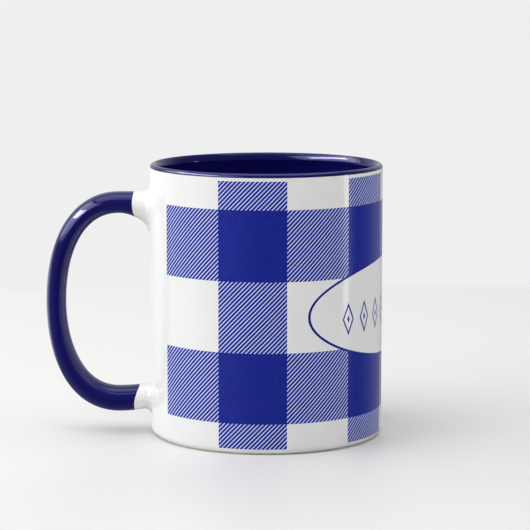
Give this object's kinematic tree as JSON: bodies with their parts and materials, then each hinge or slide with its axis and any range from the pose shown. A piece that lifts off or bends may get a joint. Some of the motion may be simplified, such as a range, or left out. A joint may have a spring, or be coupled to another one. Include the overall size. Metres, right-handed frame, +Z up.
{
  "type": "mug",
  "caption": "Straight-sided stoneware mug with a navy glazed inside, lip and C-shaped strap handle, a white outside and a blue check print round the wall.",
  "frame": {"origin": "on the table, under the middle of the overall length with the handle; the cup's own axis stands at x = 0.0184 m", "axes": "+Z up; the handle points to -X and the middle of the print to +X; the mug is symmetric about the XZ plane"},
  "size_m": [0.1188, 0.082, 0.096],
  "materials": {
    "stoneware": "bare fired clay, matte and slightly rough",
    "fired_slip": "bare fired slip, matte",
    "white_glaze": "smooth high gloss glaze",
    "navy_glaze": "smooth high gloss glaze",
    "blue_print": "gloss print: solid and hatched blue checks on white, with an oval panel"
  },
  "bodies": {
    "root": {"cup_body": "stoneware", "handle_core": "stoneware", "upper_slip_seam": "fired_slip", "lower_slip_seam": "fired_slip", "exterior_glaze": "white_glaze", "base_glaze": "white_glaze", "upper_stub_glaze": "white_glaze", "lower_stub_glaze": "white_glaze", "lining_glaze": "navy_glaze", "handle_glaze": "navy_glaze", "print_film": "blue_print"}
  },
  "joints": []
}
